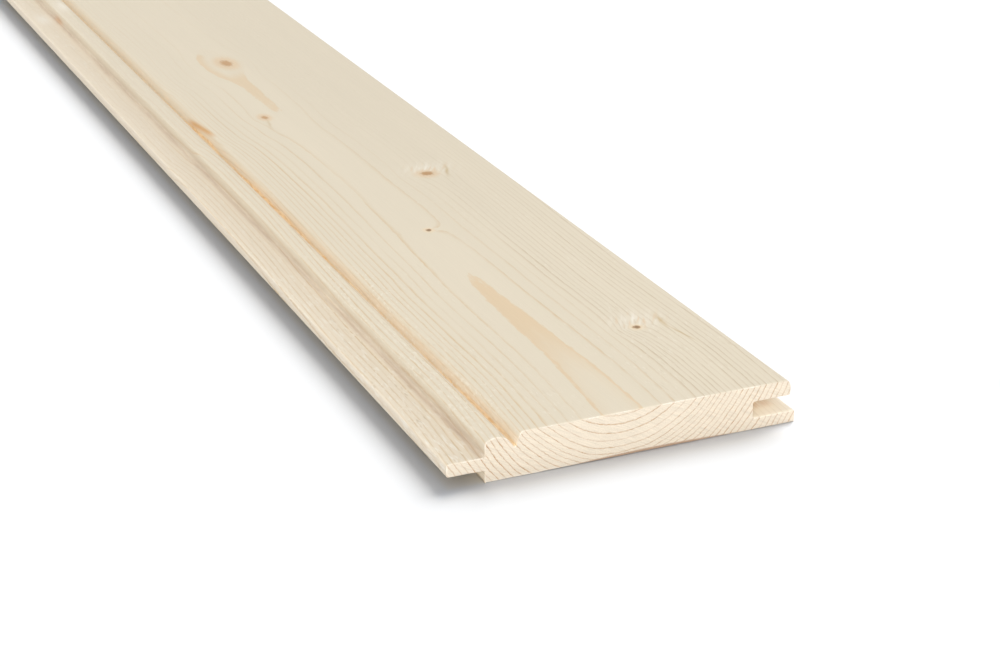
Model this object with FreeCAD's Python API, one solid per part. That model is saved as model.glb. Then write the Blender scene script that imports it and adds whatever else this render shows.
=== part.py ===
"""Beaded tongue and groove board, planed from one length of spruce, for lining walls and ceilings.

The board lies face up on its back. X runs along it, Y across it from the tongue to the groove, and Z up.
The origin is the middle of the underside of its bounding box. Sizes are in millimetres.

The whole board is one moulded section run along its length. Across the section, from the tongue's side,
come the tongue, a bead, a V groove, the flat face, and the groove between its two lips. The back has a
shallow hollow between two flat lands. The back lip is longer than the face lip, so laid boards close up
on the back and leave an open joint beside each bead.
"""

import FreeCAD
import Part

import os
from math import cos, radians, sin, sqrt, tan

# The board
length = 2100.0
thickness = 12.0
cover_width = 86.0  # from the shoulders to the end of the back lip: the pitch at which boards are laid

# The bead, an arc cut off square by the shoulder
bead_radius = 4.6
bead_crest = 3.0  # from the shoulder to the highest line of the bead
bead_drop = 0.45  # the crest lies this far below the face
bead_arris_radius = 0.6

# The V groove that parts the bead from the face
vee_depth = 4.0  # to where its two flanks would meet
vee_bead_lean = 37.0  # degrees from upright, of the flank that runs off the bead
vee_face_lean = 20.0  # degrees from upright, of the flank on the face's side
vee_bottom_radius = 0.25
vee_arris_radius = 1.5  # rounding of the face's edge along the V groove

# The tongue
tongue_length = 10.0
tongue_thickness = 3.5
tongue_arris_radius = 0.6
tongue_root_radius = 0.6

# The groove, which takes the next board's tongue
back_lip_thickness = 3.2
tongue_back_clearance = 0.1
tongue_face_clearance = 0.9
tongue_end_clearance = 2.2
joint_gap = 1.5  # the face lip stops this far short of the back lip
groove_root_radius = 0.6
lip_arris_radius = 1.8  # rounding of the face's edge along the groove
mouth_arris_radius = 0.35

# The back
tongue_side_land = 10.0
groove_side_land = 14.0
hollow_depth = 0.7
back_arris_radius = 0.4

# Levels in the section, above the back
groove_floor = back_lip_thickness
tongue_underside = groove_floor + tongue_back_clearance
tongue_top = tongue_underside + tongue_thickness
groove_ceiling = tongue_top + tongue_face_clearance
vee_bottom = thickness - vee_depth
bead_top = thickness - bead_drop
bead_centre_level = bead_top - bead_radius

# Places across the section, from the shoulders at 0
tongue_end = -tongue_length
back_lip_end = cover_width
face_lip_end = back_lip_end - joint_gap
groove_root = back_lip_end - tongue_length - tongue_end_clearance
middle = (tongue_end + back_lip_end) / 2


def at(across, up):
    """A point of the section, in the plane of the board's far end."""
    return FreeCAD.Vector(-length / 2, across - middle, up)


def from_bead_centre(distance, degrees):
    """A point at a distance from the bead's centre, in a direction measured up from the groove's side."""
    angle = radians(degrees)
    return at(bead_crest + distance * cos(angle), bead_centre_level + distance * sin(angle))


def rounded_run(*corners):
    """Straight edges through the corners, each (point, radius), with a tangent arc at each rounded one."""
    edges = []
    start = corners[0][0]
    for (before, _), (corner, radius), (after, _) in zip(corners, corners[1:], corners[2:]):
        to_before = (before - corner).normalize()
        to_after = (after - corner).normalize()
        half_angle = to_before.getAngle(to_after) / 2
        to_centre = (to_before + to_after).normalize()
        arc_start = corner + to_before * (radius / tan(half_angle))
        arc_middle = corner + to_centre * (radius / sin(half_angle) - radius)
        arc_end = corner + to_after * (radius / tan(half_angle))
        edges.append(Part.LineSegment(start, arc_start).toShape())
        edges.append(Part.Arc(arc_start, arc_middle, arc_end).toShape())
        start = arc_end
    edges.append(Part.LineSegment(start, corners[-1][0]).toShape())
    return edges


# The bead's arris touches the shoulder and the bead's own arc from inside
arris_across = bead_arris_radius - bead_crest
arris_reach = bead_radius - bead_arris_radius
arris_rise = sqrt(arris_reach**2 - arris_across**2)
arris_centre = at(bead_arris_radius, bead_centre_level + arris_rise)
bead_foot = at(0, bead_centre_level + arris_rise)
bead_start = arris_centre + (arris_centre - from_bead_centre(0, 0)).normalize() * bead_arris_radius
bead_end = from_bead_centre(bead_radius, vee_bead_lean)

# The flank that leaves the bead runs straight down to the V's bottom
flank_drop = bead_end.z - vee_bottom
vee_meeting = bead_end + FreeCAD.Vector(0, flank_drop * tan(radians(vee_bead_lean)), -flank_drop)
face_start = vee_meeting + FreeCAD.Vector(0, vee_depth * tan(radians(vee_face_lean)), vee_depth)


def tongue_side():
    """From the back's land round the back shoulder and the tongue, up to the foot of the bead."""
    return rounded_run(
        (at(tongue_side_land, 0), 0),
        (at(0, 0), back_arris_radius),
        (at(0, tongue_underside), tongue_root_radius),
        (at(tongue_end, tongue_underside), tongue_arris_radius),
        (at(tongue_end, tongue_top), tongue_arris_radius),
        (at(0, tongue_top), tongue_root_radius),
        (bead_foot, 0),
    )


def bead():
    """The bead's arris and its arc, from the shoulder over the crest to the V groove's flank."""
    outward = (FreeCAD.Vector(0, -1, 0) + (bead_start - arris_centre).normalize()).normalize()
    arris = Part.Arc(bead_foot, arris_centre + outward * bead_arris_radius, bead_start)
    crest = Part.Arc(bead_start, from_bead_centre(bead_radius, 90), bead_end)
    return [arris.toShape(), crest.toShape()]


def face_and_groove_side():
    """From the bead through the V groove and over the face, then in and out of the groove to the back."""
    return rounded_run(
        (bead_end, 0),
        (vee_meeting, vee_bottom_radius),
        (face_start, vee_arris_radius),
        (at(face_lip_end, thickness), lip_arris_radius),
        (at(face_lip_end, groove_ceiling), mouth_arris_radius),
        (at(groove_root, groove_ceiling), groove_root_radius),
        (at(groove_root, groove_floor), groove_root_radius),
        (at(back_lip_end, groove_floor), mouth_arris_radius),
        (at(back_lip_end, 0), back_arris_radius),
        (at(back_lip_end - groove_side_land, 0), 0),
    )


def hollow_back():
    """The shallow arc between the two lands."""
    start = back_lip_end - groove_side_land
    end = tongue_side_land
    return [Part.Arc(at(start, 0), at((start + end) / 2, hollow_depth), at(end, 0)).toShape()]


outline = Part.Wire(tongue_side() + bead() + face_and_groove_side() + hollow_back())
board = Part.Face(outline).extrude(FreeCAD.Vector(length, 0, 0))

os.makedirs("parts", exist_ok=True)
board.exportStep("parts/board.step")
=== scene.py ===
"""A beaded tongue and groove board of bare planed spruce, on a pale studio floor.

Places on the board are given as along, from the near end; across, from the shoulders towards the groove;
and up, from the back. They are in millimetres, and so are the sizes, unless a name says otherwise.
"""

import random
from math import atan2, cos, degrees, pi, radians, sin, sqrt, tan

import bpy
import numpy as np
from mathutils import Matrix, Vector, noise


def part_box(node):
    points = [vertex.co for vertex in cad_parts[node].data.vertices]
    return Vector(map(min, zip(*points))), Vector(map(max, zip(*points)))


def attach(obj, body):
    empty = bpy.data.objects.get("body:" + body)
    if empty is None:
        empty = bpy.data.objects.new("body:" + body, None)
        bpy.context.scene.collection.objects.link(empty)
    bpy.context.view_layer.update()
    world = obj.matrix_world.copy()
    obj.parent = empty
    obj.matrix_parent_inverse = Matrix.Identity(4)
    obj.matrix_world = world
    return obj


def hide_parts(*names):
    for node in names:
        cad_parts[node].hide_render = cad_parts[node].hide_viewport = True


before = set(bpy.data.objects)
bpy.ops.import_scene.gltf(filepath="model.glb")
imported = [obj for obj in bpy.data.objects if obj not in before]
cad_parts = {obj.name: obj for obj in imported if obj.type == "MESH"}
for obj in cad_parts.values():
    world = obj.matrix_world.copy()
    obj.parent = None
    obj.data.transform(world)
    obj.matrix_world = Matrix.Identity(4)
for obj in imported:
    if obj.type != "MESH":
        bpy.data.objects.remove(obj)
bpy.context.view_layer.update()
board_low, board_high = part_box("board")

MM = 0.001
LENGTH = (board_high.x - board_low.x) / MM
THICKNESS = (board_high.z - board_low.z) / MM
TONGUE_LENGTH = 10.0
COVER_WIDTH = (board_high.y - board_low.y) / MM - TONGUE_LENGTH

# The moulded section, as the solid has it
BEAD_RADIUS = 4.6
BEAD_CREST = 3.0
BEAD_DROP = 0.45
BEAD_ARRIS = 0.6
VEE_DEPTH = 4.0
VEE_BEAD_LEAN = 37.0
VEE_FACE_LEAN = 20.0
VEE_BOTTOM = 0.25
VEE_ARRIS = 1.5
TONGUE_THICKNESS = 3.5
TONGUE_ROUND = 0.6
BACK_LIP = 3.2
TONGUE_BACK_CLEARANCE = 0.1
TONGUE_FACE_CLEARANCE = 0.9
TONGUE_END_CLEARANCE = 2.2
JOINT_GAP = 1.5
LIP_ARRIS = 1.8
MOUTH_ARRIS = 0.35
TONGUE_SIDE_LAND = 10.0
GROOVE_SIDE_LAND = 14.0
HOLLOW_DEPTH = 0.7
BACK_ARRIS = 0.4

TONGUE_UNDERSIDE = BACK_LIP + TONGUE_BACK_CLEARANCE
TONGUE_TOP = TONGUE_UNDERSIDE + TONGUE_THICKNESS
GROOVE_CEILING = TONGUE_TOP + TONGUE_FACE_CLEARANCE
GROOVE_ROOT = COVER_WIDTH - TONGUE_LENGTH - TONGUE_END_CLEARANCE
BEAD_CENTRE = np.array([BEAD_CREST, THICKNESS - BEAD_DROP - BEAD_RADIUS])


def arc(centre, radius, first, last, steps):
    """Points round a centre, from one angle to another in degrees."""
    angles = np.radians(np.linspace(first, last, steps + 1))
    return [np.array(centre) + radius * np.array([cos(a), sin(a)]) for a in angles]


def rounded(corners):
    """The points of a run through corners, each (across, up, radius), rounded by tangent arcs."""
    points = [np.array(corners[0][:2])]
    for before, corner, after in zip(corners, corners[1:], corners[2:]):
        here = np.array(corner[:2])
        to_before = np.array(before[:2]) - here
        to_after = np.array(after[:2]) - here
        to_before /= np.linalg.norm(to_before)
        to_after /= np.linalg.norm(to_after)
        half_angle = np.arccos(to_before @ to_after) / 2
        to_centre = (to_before + to_after) / np.linalg.norm(to_before + to_after)
        centre = here + to_centre * corner[2] / sin(half_angle)
        first, last = (
            here + direction * corner[2] / tan(half_angle) - centre for direction in (to_before, to_after)
        )
        start = degrees(atan2(first[1], first[0]))
        turn = (degrees(atan2(last[1], last[0])) - start + 180) % 360 - 180
        points += arc(centre, corner[2], start, start + turn, 7 if corner[2] > 1 else 4)
    return points + [np.array(corners[-1][:2])]


def section():
    """The board's outline across its length, as a closed loop of points that starts on the back."""
    arris_reach = BEAD_RADIUS - BEAD_ARRIS
    arris_rise = sqrt(arris_reach**2 - (BEAD_ARRIS - BEAD_CREST) ** 2)
    arris_centre = BEAD_CENTRE + [BEAD_ARRIS - BEAD_CREST, arris_rise]
    bead_start = degrees(atan2(arris_rise, BEAD_ARRIS - BEAD_CREST))
    lean = radians(VEE_BEAD_LEAN)
    bead_end = BEAD_CENTRE + BEAD_RADIUS * np.array([cos(lean), sin(lean)])
    flank_drop = bead_end[1] - (THICKNESS - VEE_DEPTH)
    vee_meeting = bead_end[0] + flank_drop * tan(lean)
    face_start = vee_meeting + VEE_DEPTH * tan(radians(VEE_FACE_LEAN))
    back_edge = COVER_WIDTH - GROOVE_SIDE_LAND
    tongue_side = rounded([
        (TONGUE_SIDE_LAND, 0, 0),
        (0, 0, BACK_ARRIS),
        (0, TONGUE_UNDERSIDE, TONGUE_ROUND),
        (-TONGUE_LENGTH, TONGUE_UNDERSIDE, TONGUE_ROUND),
        (-TONGUE_LENGTH, TONGUE_TOP, TONGUE_ROUND),
        (0, TONGUE_TOP, TONGUE_ROUND),
        (0, arris_centre[1], 0),
    ])
    bead = arc(arris_centre, BEAD_ARRIS, 180, bead_start, 4)[1:]
    bead += arc(BEAD_CENTRE, BEAD_RADIUS, bead_start, VEE_BEAD_LEAN, 16)[1:]
    groove_side = rounded([
        (bead_end[0], bead_end[1], 0),
        (vee_meeting, THICKNESS - VEE_DEPTH, VEE_BOTTOM),
        (face_start, THICKNESS, VEE_ARRIS),
        (COVER_WIDTH - JOINT_GAP, THICKNESS, LIP_ARRIS),
        (COVER_WIDTH - JOINT_GAP, GROOVE_CEILING, MOUTH_ARRIS),
        (GROOVE_ROOT, GROOVE_CEILING, TONGUE_ROUND),
        (GROOVE_ROOT, BACK_LIP, TONGUE_ROUND),
        (COVER_WIDTH, BACK_LIP, MOUTH_ARRIS),
        (COVER_WIDTH, 0, BACK_ARRIS),
        (back_edge, 0, 0),
    ])[1:]
    half = (back_edge - TONGUE_SIDE_LAND) / 2
    hollow_radius = (half**2 + HOLLOW_DEPTH**2) / (2 * HOLLOW_DEPTH)
    spread = degrees(np.arcsin(half / hollow_radius))
    hollow_centre = (TONGUE_SIDE_LAND + half, HOLLOW_DEPTH - hollow_radius)
    hollow = arc(hollow_centre, hollow_radius, 90 - spread, 90 + spread, 16)[1:-1]
    return tongue_side + bead + groove_side + hollow


def split_long_edges(loop):
    """The same loop with its long straight edges divided evenly, finely in the joint and the mouldings."""
    points = []
    for here, after in zip(loop, loop[1:] + loop[:1]):
        broad = min(here[1], after[1]) > THICKNESS - 0.01 or max(here[1], after[1]) < HOLLOW_DEPTH + 0.01
        count = max(1, round(np.linalg.norm(after - here) / (3.0 if broad else 1.0)))
        points += [here + (after - here) * i / count for i in range(count)]
    return np.array(points)


def outward_normals(loop):
    """The direction out of the wood at each point of the loop."""
    run = np.roll(loop, -1, axis=0) - np.roll(loop, 1, axis=0)
    normals = np.stack([-run[:, 1], run[:, 0]], axis=1)
    return normals / np.linalg.norm(normals, axis=1)[:, None]


def in_frame(along, across, up):
    """A place on the board as a place in the frame, in metres."""
    return (
        board_high.x - along * MM,
        board_low.y + (across + TONGUE_LENGTH) * MM,
        board_low.z + up * MM,
    )


def torn_depth(along, across, up):
    """How far the cutter tore the grain below the surface: deepest in the root of the groove."""
    in_groove = GROOVE_ROOT - 0.5 < across < COVER_WIDTH - 4 and BACK_LIP + 0.6 < up < GROOVE_CEILING + 0.1
    in_mouldings = across < 9.5 and up > TONGUE_TOP - 0.1
    if not (in_groove or in_mouldings):
        return 0.0
    mark = noise.noise(Vector((along * 0.45, across * 1.3, up * 1.3)))
    fine = noise.noise(Vector((along * 1.1, across * 2.6, up * 2.6 + 40)))
    if in_groove:
        return 0.55 * max(0.0, mark + 0.5 * fine + 0.1)
    fade = 1.0 if along < 140 else 0.35
    return 0.16 * fade * max(0.0, mark + 0.5 * fine - 0.25)


def saw_burr(along, across):
    """The share of the hollow in the back that torn fibres fill, close to a sawn end."""
    from_end = min(along, LENGTH - along)
    coarse = noise.noise(Vector((across * 0.8, 3.0, 0.0)))
    fine = noise.noise(Vector((across * 2.7, 9.0, 0.0)))
    ragged = 0.92 + 0.2 * coarse + 0.2 * fine
    return max(0.0, min(1.0, ragged)) * max(0.0, min(1.0, (1.8 - from_end) / 1.2))


# The knots, as (along, across, half length, half width, darkness, pull). Pull is how far the lines of the
# grain are drawn towards the pith beside the knot
KNOTS = [
    (46.3, 64.2, 1.2, 1.2, 1.0, 3.8),
    (137.8, 41.3, 1.15, 1.0, 1.0, 6.6),
    (186.6, 60.5, 2.2, 2.3, 0.66, 3.0),
    (265.0, 31.4, 2.3, 1.4, 0.58, -1.6),
    (335.6, 39.3, 5.0, 2.5, 0.58, 0.0),
]
KNOT_REACH = 24.0
PITH_HEIGHT = 31.0
PITH_MIDDLE = 37.0
dice = random.Random(11)
knot_along = 420.0
while knot_along < LENGTH - 120:
    knot_along += dice.uniform(55, 135)
    size = dice.uniform(0.9, 2.8)
    KNOTS.append((
        knot_along, dice.uniform(14, 80), size * dice.uniform(1.0, 1.7), size, dice.uniform(0.35, 1.0), 2.5,
    ))


def knots_around(places):
    """For each place, its offset from the nearest knot's axis with that knot's pull, the knot's looks, and how
    much the knot counts there: 1 close by and 0 out of its reach.

    The axes fan out from the pith, so a knot that shows on the face shows again, further out, on the back.
    """
    knots = np.array(KNOTS)
    along, across, up = places.T
    fan = (knots[:, 1] - PITH_MIDDLE) / (PITH_HEIGHT - THICKNESS)
    from_along = along[:, None] - knots[:, 0]
    from_across = across[:, None] - (knots[:, 1] + fan * (THICKNESS - up[:, None]))
    nearest = np.argmin(from_along**2 + (0.3 * from_across) ** 2, axis=1)
    rows = np.arange(len(places))
    chosen = knots[nearest]
    offsets = np.stack([from_along[rows, nearest], from_across[rows, nearest], chosen[:, 5]], axis=1)
    away = np.hypot(offsets[:, 0], offsets[:, 1])
    return offsets, chosen[:, 2:5], np.clip((KNOT_REACH - away) / 6.0, 0.0, 1.0)


def build_board():
    loop = split_long_edges(section())
    normals = outward_normals(loop)
    arris = 0.25
    stations = np.concatenate([
        [0.0],
        [arris, 0.6, 1.0, 1.5],
        np.arange(2.2, 24, 0.8),
        np.arange(24, 132, 1.2),
        np.arange(132, 450, 4.0),
        np.linspace(450, LENGTH - 20, 150),
        np.arange(LENGTH - 19, LENGTH - 2, 1.5),
        [LENGTH - 1.5, LENGTH - 0.6, LENGTH - arris, LENGTH],
    ])
    count = len(loop)
    places = []
    for along in stations:
        at_end = along in (0.0, LENGTH)
        for (across, up), normal in zip(loop, normals):
            if at_end:
                ragged = noise.noise(Vector((across * 1.7, up * 1.7, along)))
                inset = arris * (0.7 + 0.7 * ragged)
            else:
                inset = torn_depth(along, across, up)
            place = np.array([across, up]) - inset * normal
            if up < HOLLOW_DEPTH + 0.01:
                place[1] -= saw_burr(along, across) * up
            places.append((along, place[0], max(0.0, place[1])))
    vertices = [in_frame(*place) for place in places]
    faces = []
    for ring in range(len(stations) - 1):
        for i in range(count):
            j = (i + 1) % count
            near, far = ring * count, (ring + 1) * count
            faces.append((near + i, near + j, far + j, far + i))
    faces.append(tuple(reversed(range(count))))
    last = (len(stations) - 1) * count
    faces.append(tuple(range(last, last + count)))
    mesh = bpy.data.meshes.new("planed_board")
    mesh.from_pydata(vertices, [], faces)
    mesh.validate()
    mesh.shade_smooth()
    mesh.set_sharp_from_angle(angle=radians(35))
    offsets, looks, counts = knots_around(np.array(places))
    for name, values in (("knot_offset", offsets), ("knot_look", looks)):
        attribute = mesh.attributes.new(name, "FLOAT_VECTOR", "POINT")
        attribute.data.foreach_set("vector", values.astype(np.float32).ravel())
    attribute = mesh.attributes.new("knot_counts", "FLOAT", "POINT")
    attribute.data.foreach_set("value", counts.astype(np.float32))
    board = bpy.data.objects.new("planed_board", mesh)
    bpy.context.scene.collection.objects.link(board)
    return board


class Value:
    """A number that a material works out at each point of its surface, written as ordinary arithmetic."""

    tree = None

    def __init__(self, socket):
        self.socket = socket

    @classmethod
    def node(cls, kind, inputs=(), **settings):
        """A new node with its settings, and with its inputs set or linked."""
        node = cls.tree.nodes.new(kind)
        for name, value in settings.items():
            setattr(node, name, value)
        for name, value in dict(inputs).items():
            if isinstance(value, Value):
                cls.tree.links.new(value.socket, node.inputs[name])
            else:
                node.inputs[name].default_value = value
        return node

    @classmethod
    def math(cls, operation, *values):
        return cls(cls.node("ShaderNodeMath", enumerate(values), operation=operation).outputs[0])

    def __add__(self, other):
        return self.math("ADD", self, other)

    def __sub__(self, other):
        return self.math("SUBTRACT", self, other)

    def __rsub__(self, other):
        return self.math("SUBTRACT", other, self)

    def __mul__(self, other):
        return self.math("MULTIPLY", self, other)

    def __truediv__(self, other):
        return self.math("DIVIDE", self, other)

    def __pow__(self, other):
        return self.math("POWER", self, other)

    __radd__ = __add__
    __rmul__ = __mul__


def step_up(value, low, high):
    """0 below low and 1 above high, with a smooth rise between them."""
    inputs = {"Value": value, "From Min": low, "From Max": high}
    return Value(Value.node("ShaderNodeMapRange", inputs, interpolation_type="SMOOTHSTEP").outputs[0])


def step_down(value, low, high):
    return 1.0 - step_up(value, low, high)


def between(value, low, high, soft):
    """1 from low to high and 0 outside, each side softened."""
    return step_up(value, low - soft, low + soft) * step_down(value, high - soft, high + soft)


def hump(value, centre, spread):
    """1 at the centre, falling off smoothly to either side."""
    return Value.math("EXPONENT", ((value - centre) / spread) ** 2 * -1)


def size_of(value):
    return Value.math("ABSOLUTE", value)


def distance(first, second):
    return Value.math("SQRT", first * first + second * second)


def split(vector):
    parts = Value.node("ShaderNodeSeparateXYZ", {0: vector})
    return [Value(parts.outputs[i]) for i in range(3)]


def curve(value, points):
    """A smooth curve through points, each (value, result)."""
    firsts, results = zip(*points)
    low, high = min(results), max(results)
    start, end = firsts[0], firsts[-1]
    node = Value.node("ShaderNodeFloatCurve", {"Value": (value - start) / (end - start)})
    line = node.mapping.curves[0]
    for i, (first, result) in enumerate(points):
        place = ((first - start) / (end - start), (result - low) / (high - low))
        if i == 0:
            line.points[0].location = place
        elif i == len(points) - 1:
            line.points[len(line.points) - 1].location = place
        else:
            line.points.new(*place)
    node.mapping.update()
    return low + Value(node.outputs[0]) * (high - low)


def mixed(share, first, second):
    """One colour turning into another; a colour is three numbers or a socket."""
    node = Value.node("ShaderNodeMix", {"Factor": share}, data_type="RGBA")
    for socket, colour in ((node.inputs[6], first), (node.inputs[7], second)):
        if isinstance(colour, Value):
            Value.tree.links.new(colour.socket, socket)
        else:
            socket.default_value = (*colour, 1)
    return Value(node.outputs[2])


def noise_at(vector, detail):
    """Noise that is mostly between -1 and 1."""
    texture = Value.node("ShaderNodeTexNoise", {"Vector": vector, "Scale": 1.0, "Detail": detail})
    return Value(texture.outputs[0]) * 4.0 - 2.0


# Where the pith ran beside the board, as (along, across, up): it wanders, which makes the flames of the face
PITH = [
    (0, 36.6, 30.32),
    (20, 37.7, 30.52),
    (40, 38.2, 30.77),
    (60, 38.0, 30.89),
    (80, 37.9, 31.05),
    (94, 38.1, 31.13),
    (102, 38.3, 31.34),
    (125, 38.8, 31.6),
    (164, 39.9, 32.05),
    (200, 40.2, 32.3),
    (245, 38.0, 31.9),
    (266, 37.6, 31.4),
    (273, 37.6, 31.16),
    (300, 37.8, 31.1),
    (320, 36.4, 30.6),
    (336, 36.8, 30.3),
    (352, 36.8, 30.9),
    (370, 36.4, 31.5),
    (450, 35.2, 31.9),
    (640, 38.0, 30.5),
    (860, 39.8, 31.9),
    (1050, 36.2, 30.6),
    (1260, 34.4, 31.6),
    (1480, 38.2, 32.4),
    (1700, 36.6, 30.7),
    (1900, 38.8, 31.6),
    (2100, 36.4, 30.9),
]
# How many growth rings lie within a distance of the pith
RINGS = [
    (10, -3), (17.2, 1), (19.25, 2), (21.5, 3), (23.7, 4), (25.7, 5), (29.3, 7), (33.2, 10), (38.9, 14),
    (44.6, 18), (50.7, 22), (60.8, 29),
]
# How much resin lies in the bottom of the V, by place along
RESIN_STREAK = [
    (0, 0.6), (18, 0.8), (40, 0.55), (90, 0.36), (122, 0.46), (145, 0.55), (172, 0.85), (204, 0.86), (226, 0.5),
    (245, 0.6), (256, 0.95), (266, 0.95), (280, 0.5), (300, 0.33), (440, 0.36), (560, 0.2), (760, 0.75), (820, 0.4),
    (1100, 0.3), (1250, 0.8), (1330, 0.35), (1650, 0.3), (1780, 0.7), (1850, 0.3), (2100, 0.5),
]
# How rough the cutter left the grain, by place along
ROUGHNESS = [
    (0, 1.0), (50, 0.8), (130, 0.55), (240, 0.3), (500, 0.4), (800, 0.25), (1200, 0.5), (1500, 0.25),
    (1900, 0.4), (2100, 0.9),
]

# How strongly the lines show on the groove's half and on the tongue's half, by place along
GROOVE_HALF_LINES = [
    (0, 1.0), (60, 0.9), (125, 0.75), (170, 0.4), (210, 0.2), (280, 0.09), (440, 0.1), (640, 0.8), (900, 1.0),
    (1250, 0.6), (1600, 0.9), (1850, 0.6), (2100, 0.9),
]
TONGUE_HALF_LINES = [
    (0, 1.12), (180, 1.0), (250, 0.78), (300, 0.44), (350, 0.24), (440, 0.22), (640, 0.9), (1000, 0.75),
    (1450, 1.0), (1850, 0.7), (2100, 0.95),
]
# How the wood pales and darkens from place to place along
SHADE = [
    (0, 0.992), (90, 0.99), (150, 0.97), (240, 0.96), (340, 0.947), (430, 0.944), (700, 0.98), (1000, 0.955),
    (1350, 0.99), (1700, 0.965), (2100, 0.985),
]

EARLYWOOD = (0.765, 0.683, 0.54)
TONGUE_WOOD = (0.82, 0.722, 0.576)
# Painted light: paler wood in the V, making up for the shade that falls in it
VEE_PAINTED_LIGHT = (0.815, 0.685, 0.515)
# Painted light: near-white wood inside the groove, making up for the shade under the face lip
GROOVE_PAINTED_LIGHT = (0.98, 0.89, 0.74)
# Painted light: pale wood on the shoulder under the tongue, making up for the tongue's shadow on it
SHOULDER_PAINTED_LIGHT = (0.98, 0.86, 0.67)
LATEWOOD_WARM = (0.68, 0.525, 0.33)
LATEWOOD_PALE = (0.61, 0.50, 0.35)
FLAME = (0.745, 0.59, 0.40)
END_EARLYWOOD = (0.74, 0.65, 0.525)
END_LATEWOOD = (0.46, 0.265, 0.125)
# Painted shade along the lower edge of the sawn ends, over the hollow in the back
LOWER_EDGE_SHADE = (0.42, 0.27, 0.18)
RESIN = (0.95, 0.735, 0.46)
RESIN_OCHRE = (0.82, 0.57, 0.3)
# Orange-brown streaks deep in the groove: torn grain and painted shade under the face lip
GROOVE_STREAK_AND_SHADE = (0.62, 0.36, 0.17)
CORNER_SHADE = (0.46, 0.345, 0.25)
SCAR = (0.57, 0.42, 0.215)
KNOT_BROWN = (0.53, 0.32, 0.16)
KNOT_TAN = (0.62, 0.41, 0.25)
KNOT_DARK = (0.31, 0.21, 0.12)
KNOT_HALO = (0.75, 0.54, 0.33)
KNOT_PALE_RIM = (0.82, 0.67, 0.47)
PALE_FIBRE = (0.90, 0.84, 0.73)
BURST = (0.67, 0.42, 0.205)
# Dark scars on the face beside the knots, as (along, across, half length, half width, rise per length, strength)
SCARS = [
    (48.0, 72.4, 3.8, 0.65, 0.08, 0.9),
    (38.0, 73.4, 4.8, 0.3, -0.17, 0.8),
    (187.5, 67.6, 4.6, 0.6, 0.3, 0.85),
    (257.5, 30.6, 5.0, 0.5, 0.16, 0.4),
]


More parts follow.
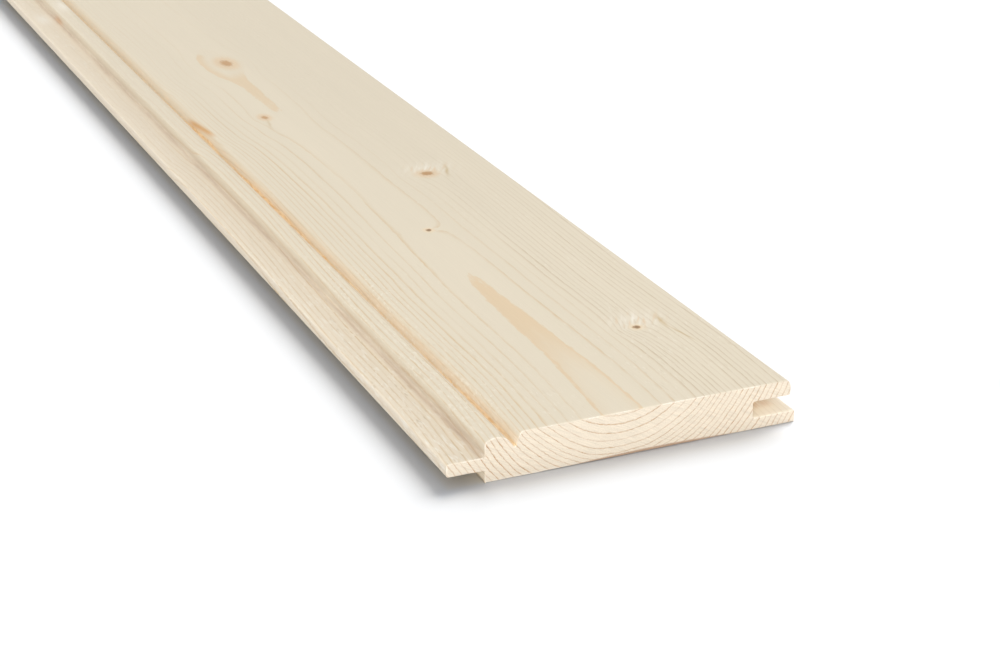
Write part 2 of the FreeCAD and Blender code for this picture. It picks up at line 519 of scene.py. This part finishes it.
def spruce():
    material = bpy.data.materials.new("planed_spruce")
    material.use_nodes = True
    tree = material.node_tree
    Value.tree = tree
    shader = tree.nodes["Principled BSDF"]
    x, y, z = split(Value(Value.node("ShaderNodeTexCoord").outputs["Object"]))
    along = (board_high.x - x) * (1 / MM)
    across = (y - board_low.y) * (1 / MM) - TONGUE_LENGTH
    up = (z - board_low.z) * (1 / MM)

    def speckle(size_along, size_across, shift=0.0, detail=0.0):
        """Noise mostly between -1 and 1, with marks of this size."""
        parts = {0: along / size_along + shift, 1: across / size_across, 2: up / size_across}
        return noise_at(Value(Value.node("ShaderNodeCombineXYZ", parts).outputs[0]), detail)

    facing, _, _ = split(Value(Value.node("ShaderNodeNewGeometry").outputs["True Normal"]))
    facing = size_of(facing)
    end_grain = step_up(facing, 0.4, 0.8)

    # The grain parts round each knot, and is drawn towards the pith beside it
    offset = Value.node("ShaderNodeAttribute", attribute_name="knot_offset").outputs["Vector"]
    look = Value.node("ShaderNodeAttribute", attribute_name="knot_look").outputs["Vector"]
    counts = Value(Value.node("ShaderNodeAttribute", attribute_name="knot_counts").outputs["Fac"])
    knot_along, knot_across, pull = split(Value(offset))
    half_length, half_width, darkness = split(Value(look))
    pith_across = curve(along, [(a, b) for a, b, _ in PITH])
    pith_up = curve(along, [(a, c) for a, _, c in PITH])
    reach = distance(knot_along / (half_length * 2.6 + 2.6), knot_across / (half_width * 2.4 + 1.8))
    near_knot = hump(reach, 0.0, 1.0) * counts
    wedge = Value.math("MAXIMUM", knot_along, knot_along * -0.65)
    drawn = Value.math("EXPONENT", wedge / -4.6) * hump(knot_across, 0.0, 5.6) * counts
    outer_side = Value.math("MINIMUM", Value.math("MAXIMUM", (across - pith_across) / 4.0, -1.0), 1.0)
    curl = speckle(3.2, 1.5, 4.4)
    bent = across - 0.4 * knot_across * near_knot + pull * drawn * outer_side + 0.2 * curl * near_knot

    # The growth rings
    straight = distance(bent - pith_across, up - pith_up)
    meander = 0.26 * speckle(110, 14) + 0.1 * speckle(24, 5, 7.3)
    rough = curve(along, ROUGHNESS)
    jitter = 0.035 * speckle(6, 1.3, 3.1) + 0.025 * speckle(1.8, 0.7, 8.6) + 0.05 * rough * speckle(4.5, 0.8, 15.2)
    radius = straight + meander * step_up(straight, 19.6, 25.0) + jitter
    ring = curve(radius, RINGS)
    age = Value.math("FRACT", ring)
    number = Value.math("FLOOR", ring)
    heavy = Value(Value.node("ShaderNodeTexWhiteNoise", {"W": number}, noise_dimensions="1D").outputs[0])
    flame = step_down(ring, 1.95, 2.03)
    lost = step_up(along, 312, 326) * step_up(across, 33.0, 35.5) + step_up(along, 348, 354)
    lost = Value.math("MINIMUM", lost, 1.0) * step_down(along, 400, 450)
    groove_half = step_up(across, 40, 56)
    patchy = speckle(38, 1.8, 11.0)
    broken = speckle(5.0, 0.9, 61.0, 1.0)
    uneven = (0.8 + 0.35 * patchy) * (1.0 + rough * (0.5 * broken - 0.05))
    tongue_half_lines = curve(along, TONGUE_HALF_LINES)
    groove_half_lines = curve(along, GROOVE_HALF_LINES)
    clear = tongue_half_lines + groove_half * (groove_half_lines - tongue_half_lines)
    ring_end = step_down(age, 0.975, 1.0)
    inner = step_down(ring, 3.0, 6.5)
    line = step_up(age, 0.42 + 0.25 * inner, 0.97) ** 2.6 * ring_end * (0.45 + 0.55 * heavy) * uneven * clear
    line = line * (1.0 - 0.25 * inner) * (1.0 + 0.3 * step_down(across, -0.9, -0.3) * step_down(along, 130, 200))
    deep_flame = 0.25 + 0.75 * step_up(along, 15, 62)
    flame_line = Value.math("MAXIMUM", step_up(age, 0.82, 0.95), step_up(age, 0.5, 0.88) * deep_flame)
    flame_line = flame_line * flame * (1.0 - 0.93 * lost) * (1.0 - 0.2 * between(along, 245, 420, 20))
    outer = step_up(ring, 5.0, 15.0)
    end_line = step_up(age, 0.72 - 0.14 * outer, 0.96) ** 2.4 * ring_end * (0.5 + 0.5 * heavy)
    end_line = end_line * (0.76 + 0.14 * outer + 0.25 * patchy + 0.25 * broken)
    latewood = mixed(step_up(across, 49, 62), LATEWOOD_WARM, LATEWOOD_PALE)
    mouldings = step_down(across, 8.6, 9.8)
    on_top_side = step_up(up, TONGUE_TOP - 0.5, TONGUE_TOP - 0.1)
    in_groove = step_up(across, GROOVE_ROOT - 0.7, GROOVE_ROOT - 0.2) * between(up, BACK_LIP - 0.3, 8.3, 0.3)
    earlywood = mixed(step_down(across, -0.8, 0.1), EARLYWOOD, TONGUE_WOOD)
    # Painted light in the V: its wood made paler to make up for its shade
    in_vee = between(across, 4.7, 9.5, 0.4) * step_down(up, 9.9, 11.4)
    mottled = 0.85 + 0.5 * speckle(6, 0.8, 65.0, 1.0) - 0.4 * between(along, 220, 600, 40)
    earlywood = mixed(in_vee * mottled, earlywood, VEE_PAINTED_LIGHT)
    # Painted light: the groove's inside made paler to make up for the shade under the face lip
    earlywood = mixed(in_groove, earlywood, GROOVE_PAINTED_LIGHT)
    # Painted light: the shoulder under the tongue made paler to make up for the tongue's shadow
    shoulder = between(across, -0.5, 0.5, 0.3) * step_down(up, TONGUE_UNDERSIDE - 0.4, TONGUE_UNDERSIDE)
    earlywood = mixed(shoulder, earlywood, SHOULDER_PAINTED_LIGHT)
    colour = mixed(line * (1.0 - flame) * (1.0 - 0.6 * in_groove), earlywood, latewood)
    colour = mixed(flame_line, colour, FLAME)

    # Knots: a dark heart, a brown body and a rim that is orange, or pale round a dark pin
    edge = distance(knot_along / half_length, knot_across / half_width) + 0.12 * speckle(1.6, 0.8, 2.2)
    very_dark = step_up(darkness, 0.6, 0.95)
    rim_colour = mixed(very_dark, KNOT_HALO, KNOT_PALE_RIM)
    colour = mixed(hump(edge, 1.15, 0.75) * counts * (0.55 + 0.2 * very_dark), colour, rim_colour)
    body_colour = mixed(step_up(darkness, 0.45, 0.68), KNOT_TAN, KNOT_BROWN)
    colour = mixed(step_down(edge, 0.45 + 0.15 * very_dark, 1.15) * counts, colour, body_colour)
    colour = mixed(step_down(edge, 0.3, 1.1) * very_dark * counts, colour, KNOT_DARK)
    scarred = 0.0
    for scar_along, scar_across, half_scar, scar_width, rise, scar_strength in SCARS:
        off_line = across - scar_across - rise * (along - scar_along) + 0.12 * curl
        scar = hump(distance((along - scar_along) / half_scar, off_line / scar_width), 0.0, 1.0)
        scarred = scar * scar_strength + scarred
    on_top = step_up(up, 10.5, 11.2)
    colour = mixed(scarred * on_top, colour, SCAR)

    # Resin in the V, with a burst of it on the edge of the face
    streak = curve(along, RESIN_STREAK) + 0.13 * speckle(9, 1.2, 9.1, 2.0)
    at_bottom = between(across, 6.4, 9.6, 0.5) * step_down(up - 1.15 * streak, 7.7, 8.6)
    strength = 0.84 + 0.12 * step_up(along, 90, 180)
    blotches = 0.9 + 0.35 * speckle(3, 0.5, 33.0, 1.0) + 0.25 * speckle(13, 0.9, 83.0, 1.0)
    resin = at_bottom * step_up(streak, -0.1, 0.8) * strength * blotches
    climb = across - 9.4 + 0.5 * (up - THICKNESS)
    burst = between(along, 254.5, 278, 5) * hump(climb + 0.085 * (along - 253.0), 0.0, 0.75) * step_up(across, 7.7, 8.1)
    burst = burst * step_up(speckle(5, 0.8, 5.9, 1.0), -2.2, -0.7)

    # Torn grain on the mouldings, on the face and in the groove, with painted shade deep in the groove and in the
    # corner beside the bead
    torn = step_up(speckle(4.2, 0.8, 21.0, 1.5), 0.2, 0.8) * mouldings * rough
    specks = step_up(speckle(1.4, 0.55, 91.0), 0.5, 1.0) * step_down(across, 11.0, 17.0)
    specks = specks * between(along, 12, 128, 14) * step_up(speckle(22, 5, 71.0), -0.7, 0.4)
    patches = step_up(speckle(30, 8, 17.0), -0.6, 0.5) * rough * (1.0 - hump(across, 38, 11))
    flecks = step_up(speckle(3.0, 0.75, 13.0, 1.0), 0.35, 1.0) * patches
    dashes = step_up(speckle(4.0, 0.7, 27.0, 1.0), 0.4, 1.0) * patches
    slanted = {0: knot_along / 8.0, 1: (knot_across - 0.5 * knot_along) / 1.7, 2: up / 2.0}
    stripes = noise_at(Value(Value.node("ShaderNodeCombineXYZ", slanted).outputs[0]), 1.0)
    beside_knot = hump(distance((knot_along - 4.5) / 5.0, (knot_across - 2.0) / 6.5), 0.0, 1.0)
    beside_knot = beside_knot * counts * step_up(half_width, 1.05, 1.15) * step_up(edge, 1.1, 1.6)
    beside_knot = beside_knot * step_up(darkness, 0.6, 0.65)
    curly = step_up(stripes, -0.1, 0.6) * beside_knot
    on_tongue = step_down(across, -0.9, -0.3)
    torn_shows = torn * (0.35 + 0.4 * on_tongue)
    flecks_show = flecks * (0.4 - 0.25 * mouldings)
    colour = mixed(torn_shows + flecks_show + curly * 0.6 + beside_knot * 0.25, colour, PALE_FIBRE)
    colour = mixed(dashes * (0.3 + 0.1 * mouldings + 0.3 * on_tongue), colour, LATEWOOD_PALE)
    colour = mixed(step_down(stripes, -0.8, -0.2) * beside_knot * 0.55, colour, KNOT_HALO)
    # Streaks deep in the groove towards its root: partly torn grain, partly painted shade under the face lip
    groove_streaks_and_shade = in_groove * step_up(along, 3.5, 7.5) * step_down(across, 79.0, 86.0) * step_down(along, 25, 90)
    groove_streaks_and_shade = groove_streaks_and_shade * step_up(speckle(9, 1.1, 31.0, 1.5), -0.9, 0.4)
    colour = mixed(specks * 0.4, colour, PALE_FIBRE)
    pale_spot = hump(distance((along - 446) / 8.0, (across + 5.0) / 2.8), 0.0, 1.0)
    pale_spot = pale_spot + hump(distance((along - 446) / 8.0, (across - 3.4) / 2.2), 0.0, 1.0)
    colour = mixed(pale_spot * 0.7, colour, PALE_FIBRE)
    resin_colour = mixed(step_up(speckle(3.2, 0.6, 44.0, 1.0), -0.3, 0.5), RESIN, RESIN_OCHRE)
    colour = mixed(resin * (1.0 - 0.85 * specks), colour, resin_colour)
    colour = mixed(burst, colour, BURST)
    colour = mixed(groove_streaks_and_shade * 0.5, colour, GROOVE_STREAK_AND_SHADE)
    # Painted shade in the corner between the tongue and the bead, stronger close to the near end
    corner = hump(distance((across + 0.55) / 1.1, (up - TONGUE_TOP) / 2.0), 0.0, 1.0) * mouldings
    corner = corner * (0.85 + 0.25 * speckle(25, 2, 51.0) + 0.2 * speckle(6, 0.6, 57.0, 1.0)) * on_top_side
    colour = mixed(corner * (0.59 + 0.2 * step_down(along, 20, 60)), colour, CORNER_SHADE)
    spot = hump(distance((along - 440.0) / 6.0, (up - 7.5) / 1.3), 0.0, 1.0) * between(across, -0.8, 1.2, 0.3)
    colour = mixed(spot * 0.9, colour, KNOT_TAN)

    # The sawn ends, with pale fibres that the saw left on the lower edge, painted shade along the lower edge over the
    # hollow in the back, and pale broken edges that are partly a painted highlight
    slant = {0: (0.45 * across + 0.9 * up) / 0.3, 1: (0.9 * across - 0.45 * up) / 5.0, 2: along}
    saw_marks = noise_at(Value(Value.node("ShaderNodeCombineXYZ", slant).outputs[0]), 1.0)
    pores = speckle(1.0, 0.33, 6.1, 1.0)
    end = mixed(end_line, END_EARLYWOOD, END_LATEWOOD)
    hollow = 0.9 - 0.9 * ((across - 46.0) / 27.0) ** 2 + 0.12 * pores
    # Painted shade over the hollow, along the lower edge of each sawn end
    end = mixed(step_down(up - hollow, -0.25, 0.1) * 0.9, end, LOWER_EDGE_SHADE)
    end = mixed(step_down(up, 0.2, 0.7) * step_down(across, 16, 30) * 0.5, end, PALE_FIBRE)
    colour = mixed(end_grain, colour, end)
    # The broken rim of each sawn end made paler: partly pale torn fibres, partly a painted highlight
    colour = mixed(hump(facing, 0.7, 0.16) * (0.5 + 0.3 * pores), colour, PALE_FIBRE)

    along_fibre = {0: along / 14, 1: bent / 0.22, 2: up / 0.22}
    fibre = noise_at(Value(Value.node("ShaderNodeCombineXYZ", along_fibre).outputs[0]), 2.0)
    tone = speckle(150, 9, 5.5, 1.0)
    on_face = 1.0 - end_grain
    # Painted shade: the bead's upper side towards the tongue is dulled
    bead_shoulder_shade = step_up(up, 8.6, 10.0) * step_down(across, 1.0, 2.8)
    light = curve(along, SHADE) - 0.028 * groove_half * (1.0 - groove_half_lines) - 0.02 * bead_shoulder_shade
    light = light + on_face * (0.016 * fibre + 0.012 * tone) + end_grain * (0.08 * saw_marks + 0.05 * pores)
    # Painted highlight on the bead's crest, beside the V, near the near end
    light = light + 0.035 * on_face * between(across, 3.2, 5.0, 0.5) * step_down(along, 100, 260)
    # Painted shade on the tongue's edge, below its top
    light = light - 0.06 * on_face * step_down(across, -9.9, -9.6) * step_down(up, TONGUE_TOP - 0.5, TONGUE_TOP - 0.2)
    bright = Value.node("ShaderNodeVectorMath", {0: colour}, operation="SCALE")
    tree.links.new(light.socket, bright.inputs["Scale"])
    tree.links.new(bright.outputs[0], shader.inputs["Base Color"])
    shader.inputs["Specular IOR Level"].default_value = 0.25
    gloss = 0.66 - 0.1 * line
    tree.links.new(gloss.socket, shader.inputs["Roughness"])
    face_height = fibre * 0.006 - line * 0.03 + torn * 0.06 + flecks * 0.05 - dashes * 0.04 + curly * 0.05
    face_height = face_height - step_down(edge, 0.7, 1.2) * counts * 0.08
    end_height = 0.02 * saw_marks + 0.02 * pores
    height = on_face * face_height + end_grain * end_height
    bump = Value.node("ShaderNodeBump", {"Height": height * MM, "Distance": 1.0, "Strength": 0.7})
    tree.links.new(bump.outputs[0], shader.inputs["Normal"])
    return material


board = build_board()
board.data.materials.append(spruce())
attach(board, "root")
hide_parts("board")


def towards(azimuth, elevation):
    """The direction of a viewpoint or lamp: azimuth 0 is the tongue's side and 90 the near end."""
    around, rise = radians(azimuth), radians(elevation)
    return Vector((sin(around) * cos(rise), -cos(around) * cos(rise), sin(rise)))


def aimed(name, data, direction):
    """A camera or lamp that looks back along the direction."""
    thing = bpy.data.objects.new(name, data)
    thing.rotation_mode = "QUATERNION"
    thing.rotation_quaternion = (-direction).to_track_quat("-Z", "Y")
    bpy.context.scene.collection.objects.link(thing)
    return thing


def white_to_the_eye(tree, seen, unseen):
    """Mixes two shaders: one that the camera and reflections see, one for the light that falls on the board."""
    Value.tree = tree
    path = Value.node("ShaderNodeLightPath")
    looks = [Value(path.outputs[name]) for name in ("Is Camera Ray", "Is Glossy Ray", "Is Transmission Ray")]
    share = Value.math("MAXIMUM", Value.math("MAXIMUM", looks[0], looks[1]), looks[2])
    mix = Value.node("ShaderNodeMixShader", {0: share, 1: Value(unseen.outputs[0]), 2: Value(seen.outputs[0])})
    return mix.outputs[0]


# The light: an even sky, a broad lamp that lights the floor alone, from behind the groove's side, for the
# shadow, and three that light the board alone: high over the tongue's side, low from where the camera stands
# before the near end, and low from behind the groove's side
SKY = 0.46
FLOOR_LAMP = {"name": "floor_lamp", "strength": 1.07, "spread": 44, "azimuth": 215, "elevation": 43}
SIDE_LAMP = {"name": "side_lamp", "strength": 0.275, "spread": 40, "azimuth": 14, "elevation": 75}
END_LAMP = {"name": "end_lamp", "strength": 0.65, "spread": 30, "azimuth": 62, "elevation": 19}
BACK_LAMP = {"name": "back_lamp", "strength": 0.30, "spread": 40, "azimuth": 184, "elevation": 22}
FLOOR_COLOUR = (0.872, 0.88, 0.891)
# The floor is cooler next to the board, which makes up for the warm light that the board throws on it
FLOOR_BESIDE_BOARD = (0.85, 0.879, 0.93)


def lamp(lit, name, strength, spread, azimuth, elevation):
    """A distant broad lamp that lights a white sheet facing it to this share of full white."""
    data = bpy.data.lights.new(name, "SUN")
    data.energy = strength * pi
    data.angle = radians(spread)
    lamp_object = aimed(name, data, towards(azimuth, elevation))
    receivers = bpy.data.collections.new(f"lit_by_{name}")
    receivers.objects.link(lit)
    lamp_object.light_linking.receiver_collection = receivers


def sky():
    world = bpy.data.worlds.new("studio")
    bpy.context.scene.world = world
    world.use_nodes = True
    tree = world.node_tree
    tree.nodes.clear()
    Value.tree = tree
    seen = Value.node("ShaderNodeBackground", {"Color": (1, 1, 1, 1), "Strength": 1.0})
    unseen = Value.node("ShaderNodeBackground", {"Color": (1, 1, 1, 1), "Strength": SKY})
    out = Value.node("ShaderNodeOutputWorld")
    tree.links.new(white_to_the_eye(tree, seen, unseen), out.inputs["Surface"])


def floor():
    half = 20.0
    level = board_low.z - 0.02 * MM
    mesh = bpy.data.meshes.new("floor")
    corners = [(-half, -half, level), (half, -half, level), (half, half, level), (-half, half, level)]
    mesh.from_pydata(corners, [], [(0, 1, 2, 3)])
    sheet = bpy.data.objects.new("floor", mesh)
    bpy.context.scene.collection.objects.link(sheet)
    material = bpy.data.materials.new("floor")
    material.use_nodes = True
    tree = material.node_tree
    tree.nodes.clear()
    Value.tree = tree
    x, y, _ = split(Value(Value.node("ShaderNodeTexCoord").outputs["Object"]))
    away = Value.math("MAXIMUM", (board_low.y - y) * (1 / MM), (x - board_high.x) * (1 / MM))
    beside = step_up(away, -1.5, 0.5) * step_down(away, 1.0, 5.0)
    paper = Value.node("ShaderNodeBsdfDiffuse", {"Color": mixed(beside, FLOOR_COLOUR, FLOOR_BESIDE_BOARD)})
    out = Value.node("ShaderNodeOutputMaterial")
    tree.links.new(paper.outputs[0], out.inputs["Surface"])
    mesh.materials.append(material)
    return sheet


# The camera stands off the near end on the tongue's side
CAMERA_PLACE = (-427.6, -184.4, 237.4)
CAMERA_AZIMUTH = 66.23
CAMERA_ELEVATION = 23.06
CAMERA_LENS = 77.98


def camera():
    data = bpy.data.cameras.new("camera")
    data.lens = CAMERA_LENS
    data.clip_start = 0.01
    data.clip_end = 100.0
    view = aimed("camera", data, towards(CAMERA_AZIMUTH, CAMERA_ELEVATION))
    view.location = in_frame(*CAMERA_PLACE)
    bpy.context.scene.camera = view


sky()
paper_floor = floor()
lamp(paper_floor, **FLOOR_LAMP)
lamp(board, **SIDE_LAMP)
lamp(board, **END_LAMP)
lamp(board, **BACK_LAMP)
camera()
bpy.context.scene.view_settings.view_transform = "Standard"
